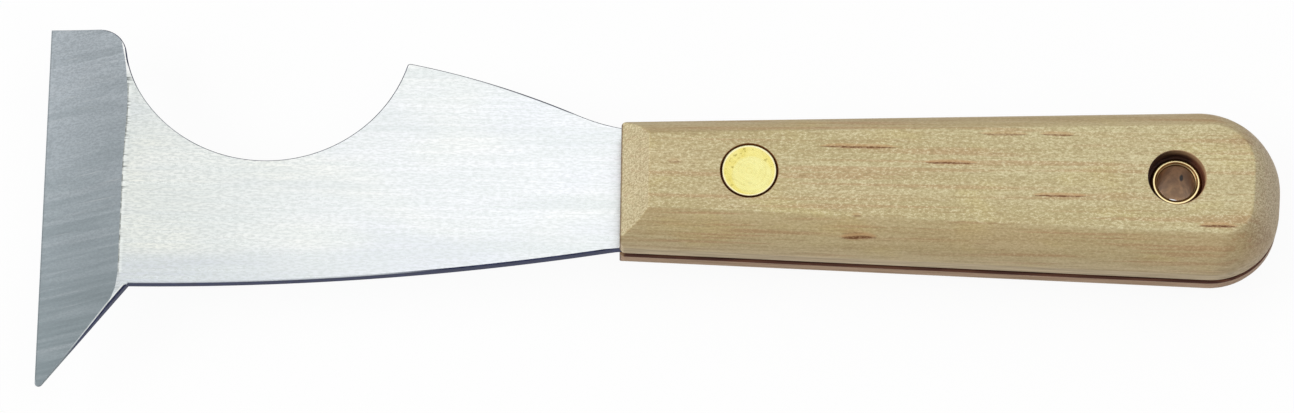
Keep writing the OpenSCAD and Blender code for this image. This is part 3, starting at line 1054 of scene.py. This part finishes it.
def make_scale(name, cad_node, side, overhang, slot_ease, materials):
    """A chamfered scale, made above the blade, and turned over for the lower side."""
    bm = bmesh.new()
    last = scale_contour(bm, 0, BLADE_HALF, overhang)
    bmesh.ops.contextual_create(bm, geom=last)
    for inwards, level in chamfer_rings():
        ring = scale_contour(bm, inwards, level, overhang)
        bmesh.ops.bridge_loops(bm, edges=last + ring)
        last = ring
    bmesh.ops.contextual_create(bm, geom=last)
    bmesh.ops.recalc_face_normals(bm, faces=bm.faces)
    cut(bm, bm.faces[:], at(FRONT_X, 0), (-1, 0, 0), clear=True)
    for way, y, nip in ((1, NOTCH_HALF, NOTCH_NIP), (-1, -BELLY_HALF - overhang, BELLY_NIP)):
        cut(bm, bm.faces[:], at(FRONT_X + nip, y), (-1, way, 0), clear=True)
    cut(bm, bm.faces[:], at(FRONT_X, 0, FACE_Z - FRONT_DROP), (-FRONT_DROP, 0, CHAMFER_W), clear=True)
    bmesh.ops.recalc_face_normals(bm, faces=bm.faces)
    ease(bm, EASE, in_slot=False)
    ease(bm, slot_ease, in_slot=True)
    drill_scale(bm, slot_ease)
    if side < 0:
        bmesh.ops.scale(bm, vec=(1, 1, -1), verts=bm.verts)
    finish_piece(bm, name, cad_node, materials)


# Brass


def turn(bm, x):
    """Spins the drawn profile about the upright axis through x, into a closed solid."""
    bmesh.ops.spin(
        bm, geom=everything(bm), cent=(0, 0, 0), axis=PLAN_AXIS, angle=2 * math.pi, steps=TURN_STEPS,
        use_merge=True,
    )
    bmesh.ops.remove_doubles(bm, verts=bm.verts, dist=WELD * MM)
    bmesh.ops.translate(bm, vec=at(x, 0), verts=bm.verts)


def head_pen(bm):
    """Half profile of a crowned head, from its middle over the eased rim to its seat."""
    crown_c = (0, HEAD_TOP - CROWN_R)
    rim_r = HEAD_R - HEAD_EASE
    tilt = math.asin(rim_r / (CROWN_R - HEAD_EASE))
    ease_c = Vector((rim_r, crown_c[1] + (CROWN_R - HEAD_EASE) * math.cos(tilt)))
    pen = Pen(bm, (0, HEAD_TOP), PROFILE_AXIS)
    pen.arc(crown_c, ease_c + HEAD_EASE * Vector((math.sin(tilt), math.cos(tilt))), steps=10)
    pen.arc(ease_c, ease_c + Vector((HEAD_EASE, 0)), steps=6)
    pen.line((HEAD_R, HEAD_SEAT))
    return pen


def make_rivet_cap(material):
    """The rivet's upper head, with its tube."""
    bm = bmesh.new()
    pen = head_pen(bm)
    pen.line((TUBE_R, HEAD_SEAT), (TUBE_R, -SHANK_END), (TUBE_BORE, -SHANK_END))
    pen.line((TUBE_BORE, HEAD_SEAT), (0, HEAD_SEAT))
    turn(bm, RIVET_X)
    finish_piece(bm, "brass_rivet_cap", "rivet_cap", [material])


def make_rivet_stud(material):
    """The rivet's lower head, with the pin that fills the tube."""
    bm = bmesh.new()
    pen = head_pen(bm)
    pen.line((PIN_R, HEAD_SEAT), (PIN_R, -SHANK_END), (0, -SHANK_END))
    turn(bm, RIVET_X)
    bmesh.ops.scale(bm, vec=(1, 1, -1), verts=bm.verts)
    finish_piece(bm, "brass_rivet_stud", "rivet_stud", [material])


def make_eyelet(material):
    """A tube whose two ends roll outwards into half-round rims."""
    bm = bmesh.new()
    rim_c = Vector((EYELET_R + RIM_R, RIM_SEAT))
    low_c = Vector((rim_c.x, -RIM_SEAT))
    outer = EYELET_R + EYELET_WALL
    pen = Pen(bm, (EYELET_R, -RIM_SEAT), PROFILE_AXIS)
    pen.line((EYELET_R, RIM_SEAT))
    pen.arc(rim_c, rim_c + Vector((0, RIM_R)), steps=RIM_STEPS)
    pen.arc(rim_c, rim_c + Vector((RIM_R, 0)), steps=RIM_STEPS)
    pen.line((outer, RIM_SEAT), (outer, -RIM_SEAT), (rim_c.x + RIM_R, -RIM_SEAT))
    pen.arc(low_c, low_c - Vector((0, RIM_R)), steps=RIM_STEPS)
    pen.arc(low_c, low_c - Vector((RIM_R, 0)), steps=RIM_STEPS)
    turn(bm, 0)
    finish_piece(bm, "brass_hang_eyelet", "hang_eyelet", [material])


# Where in the log each scale was sawn, and the tone painted over its upright walls for how light falls on
# them
UPPER_LOG = (0, 0, 0)
LOWER_LOG = (0.37, 0.11, 0.05)
UPPER_WALL_PAINT = srgb(212, 192, 158)
LOWER_WALL_PAINT = srgb(180, 143, 118)

# Flecks in the wood: middle along X and Y, length, width, strength
UPPER_FLECKS = [
    (-54.6, 4.62, 14.0, 0.45, 0.9), (-38.9, 1.95, 9.4, 0.45, 0.9), (-29.6, 7.35, 9.0, 0.4, 0.6),
    (-20.5, 7.45, 6.2, 0.4, 0.7), (-20.1, -3.8, 10.0, 0.4, 0.85), (7.0, -8.95, 7.2, 0.5, 0.95),
    (-86.1, 1.35, 2.6, 0.45, 0.4), (11.4, 6.8, 5.0, 1.6, 0.2), (-54.5, -10.96, 6.6, 0.45, 0.95),
    (-55.6, -10.4, 4.0, 0.35, 0.3), (-54.9, -8.1, 1.8, 0.35, 0.5), (12.8, -8.8, 9.0, 4.5, 0.14),
]
LOWER_FLECKS = [
    (-62.0, -3.6, 9.0, 0.45, 0.9), (-46.5, 6.1, 6.5, 0.4, 0.7), (-27.0, -6.8, 11.0, 0.45, 0.85),
    (-12.5, 2.6, 4.5, 0.4, 0.6), (9.0, 7.9, 5.0, 0.45, 0.8), (-84.0, 5.0, 3.0, 0.4, 0.5),
    (-38.0, 11.2, 5.0, 0.4, 0.7),
]


def make_tool():
    """All six pieces; the two scales share the painted shade of the slot and bores, and the rivet's halves
    their brass.
    """
    stain_and_shade = maple_painted_shade()
    upper = [maple("maple_upper", UPPER_LOG, UPPER_FLECKS, UPPER_WALL_PAINT), stain_and_shade]
    lower = [maple("maple_lower", LOWER_LOG, LOWER_FLECKS, LOWER_WALL_PAINT), stain_and_shade]
    rivet = rivet_brass()
    make_blade([brushed_steel(), ground_steel(), blanked_edge()])
    make_scale("maple_upper_scale", "upper_scale", 1, UPPER_OVERHANG, SLOT_EASE, upper)
    make_scale("maple_lower_scale", "lower_scale", -1, 0, LOWER_SLOT_EASE, lower)
    make_rivet_cap(rivet)
    make_rivet_stud(rivet)
    make_eyelet(eyelet_brass())


# Floor and light

FLOOR_HALF = 14.0
FLOOR_GAP = 0.05
SHOWN_WHITE = 0.93
FLOOR_GREY = (0.6, 0.6, 0.6, 1)
SHOWN_GREY = (0.9, 0.9, 0.9, 1)
SKY_STRENGTH = 0.3


def make_floor():
    """Pale floor that the camera and the metal see as white, with the tool's soft shadow left on it."""
    bm = bmesh.new()
    bmesh.ops.create_grid(bm, x_segments=1, y_segments=1, size=FLOOR_HALF)
    bmesh.ops.translate(bm, vec=at(0, 0, -FACE_Z - FLOOR_GAP), verts=bm.verts)
    mesh = bpy.data.meshes.new("floor")
    bm.to_mesh(mesh)
    bm.free()
    floor = bpy.data.objects.new("floor", mesh)
    bpy.context.scene.collection.objects.link(floor)
    mat = bpy.data.materials.new("pale_floor")
    mat.use_nodes = True
    tree = mat.node_tree
    tree.nodes.remove(tree.nodes["Principled BSDF"])
    rays = node(tree, "LightPath").outputs
    seen = maths(tree, "MAXIMUM", rays["Is Camera Ray"], rays["Is Glossy Ray"])
    seen = maths(tree, "MAXIMUM", seen, rays["Is Transmission Ray"])
    matt = node(tree, "BsdfDiffuse", Color=blend(tree, seen, FLOOR_GREY, SHOWN_GREY))
    white = node(tree, "Emission", Color=(1, 1, 1, 1), Strength=1.0)
    mixed = node(tree, "MixShader", Fac=maths(tree, "MULTIPLY", seen, SHOWN_WHITE))
    tree.links.new(matt.outputs[0], mixed.inputs[1])
    tree.links.new(white.outputs[0], mixed.inputs[2])
    tree.links.new(mixed.outputs[0], tree.nodes["Material Output"].inputs["Surface"])
    mesh.materials.append(mat)


def soft_light(name, place, aim, width, height, radiance):
    """A softbox of the given brightness: a white sheet lit to 1 would look white."""
    data = bpy.data.lights.new(name, "AREA")
    data.shape = "RECTANGLE"
    data.size = width
    data.size_y = height
    data.energy = radiance * math.pi * width * height
    lamp = bpy.data.objects.new(name, data)
    lamp.location = place
    lamp.rotation_euler = (Vector(aim) - Vector(place)).to_track_quat("-Z", "Y").to_euler()
    lamp.visible_camera = False
    bpy.context.scene.collection.objects.link(lamp)


def make_light():
    """A softbox overhead, a smaller one on the left, and a pale room."""
    soft_light(
        "overhead", place=(0.295, 0.075, 0.75), aim=(0.295, 0.075, 0),
        width=1.21, height=1.35, radiance=0.94,
    )
    soft_light(
        "left_fill", place=(-1.25, -0.1, 0.72), aim=(-0.09, 0, 0),
        width=0.9, height=0.9, radiance=4.6,
    )
    world = bpy.data.worlds.new("studio")
    world.use_nodes = True
    sky = world.node_tree.nodes["Background"]
    sky.inputs["Color"].default_value = (1, 1, 1, 1)
    sky.inputs["Strength"].default_value = SKY_STRENGTH
    bpy.context.scene.world = world


# Camera

TILT = math.radians(21.6)
ROLL = math.radians(0.9)
AIM = at(-90.7, -2.78)
DISTANCE = 1.25
FOCAL_PX = 7250
FRAME_PX = 1294
SENSOR = 36


def make_camera():
    """The photograph's camera: above and in front of the tool, turned a little on its axis."""
    back = Vector((0, -math.sin(TILT), math.cos(TILT)))
    right = Vector((1, 0, 0))
    up = back.cross(right)
    turned_right = right * math.cos(ROLL) + up * math.sin(ROLL)
    turned_up = up * math.cos(ROLL) - right * math.sin(ROLL)
    place = AIM + back * DISTANCE
    data = bpy.data.cameras.new("photograph")
    data.sensor_fit = "HORIZONTAL"
    data.sensor_width = SENSOR
    data.lens = FOCAL_PX / FRAME_PX * SENSOR
    data.clip_start = 0.01
    camera = bpy.data.objects.new("photograph", data)
    camera.matrix_world = Matrix((turned_right, turned_up, back)).transposed().to_4x4()
    camera.location = place
    bpy.context.scene.collection.objects.link(camera)
    bpy.context.scene.camera = camera


bpy.context.scene.view_settings.view_transform = "Standard"
make_camera()
make_floor()
make_light()
make_tool()
